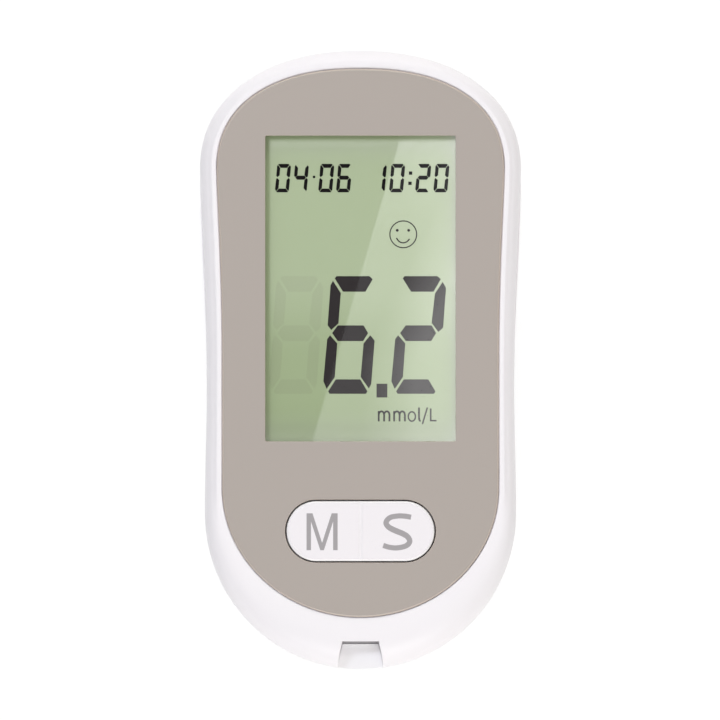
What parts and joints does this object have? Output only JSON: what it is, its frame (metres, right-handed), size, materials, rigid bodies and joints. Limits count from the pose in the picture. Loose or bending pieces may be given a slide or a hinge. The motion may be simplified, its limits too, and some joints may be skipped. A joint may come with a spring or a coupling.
{
  "type": "blood glucose meter",
  "caption": "Palm-sized rounded meter with a tall display, a rocker key, a test strip slot and a sliding battery door.",
  "frame": {"origin": "centre of the rear face, on the plane that the meter lies on", "axes": "+Z out of the display, +Y along the body towards the top of the display, +X to the right of the display"},
  "size_m": [0.0494, 0.095, 0.0161],
  "materials": {
    "housing_white": "satin white ABS",
    "guide_white": "satin white ABS",
    "panel_grey": "satin warm grey painted acrylic",
    "adhesive_film": "grey double-sided film",
    "window_clear": "clear polished acrylic",
    "key_white": "satin white ABS",
    "silicone_clear": "translucent silicone rubber",
    "carbon_rubber": "conductive carbon rubber",
    "gold_plate": "gold plate over nickel",
    "polarizer_film": "neutral green polarizing film",
    "lcd_glass": "thin float glass",
    "reflector_green": "green-grey transflective film",
    "holder_cream": "cream glass-filled nylon",
    "zebra_rubber": "layered conductive rubber",
    "board_green": "green solder mask over fibreglass",
    "screw_steel": "zinc plated steel",
    "chip_black": "black moulded epoxy",
    "crystal_steel": "drawn steel can",
    "buzzer_black": "black plastic",
    "capacitor_tan": "tan ceramic",
    "resistor_black": "black glaze",
    "cell_steel": "nickel plated steel",
    "gasket_black": "black nylon gasket",
    "contact_nickel": "nickel plated spring steel",
    "label_paper": "blank white film label"
  },
  "bodies": {
    "casing": {"front_housing": "housing_white", "rear_housing": "housing_white", "strip_guide": "guide_white", "front_panel": "panel_grey", "panel_adhesive": "adhesive_film", "display_window": "window_clear", "key_dome_pad": "silicone_clear", "key_carbon_pills": "carbon_rubber", "key_contact_pads": "gold_plate", "lcd_front_polarizer": "polarizer_film", "lcd_front_glass": "lcd_glass", "lcd_rear_glass": "lcd_glass", "lcd_reflector": "reflector_green", "lcd_holder": "holder_cream", "lcd_zebra_strips": "zebra_rubber", "main_board": "board_green", "board_screws": "screw_steel", "housing_screws": "screw_steel", "microcontroller": "chip_black", "analogue_chip": "chip_black", "memory_chip": "chip_black", "clock_crystal": "crystal_steel", "buzzer": "buzzer_black", "board_capacitors": "capacitor_tan", "board_resistors": "resistor_black", "thermistor": "resistor_black", "strip_connector": "holder_cream", "strip_contacts": "gold_plate", "coin_cell_can": "cell_steel", "coin_cell_gasket": "gasket_black", "coin_cell_cap": "cell_steel", "battery_plus_contact": "contact_nickel", "battery_minus_contact": "contact_nickel", "rear_label": "label_paper"},
    "key": {"rocker_key": "key_white"},
    "door": {"battery_door": "housing_white"}
  },
  "joints": [
    {"name": "key_rock", "type": "hinge", "parent": "casing", "child": "key", "pos_m": [0, -0.0262, 0.0121], "axis": [0, 1, 0], "range_deg": [-3, 3], "stiffness_Nm_per_rad": 0.2, "deforming": ["key_dome_pad"]},
    {"name": "door_slide", "type": "slide", "parent": "casing", "child": "door", "axis": [0, 1, 0], "range_m": [0, 0.038]}
  ]
}
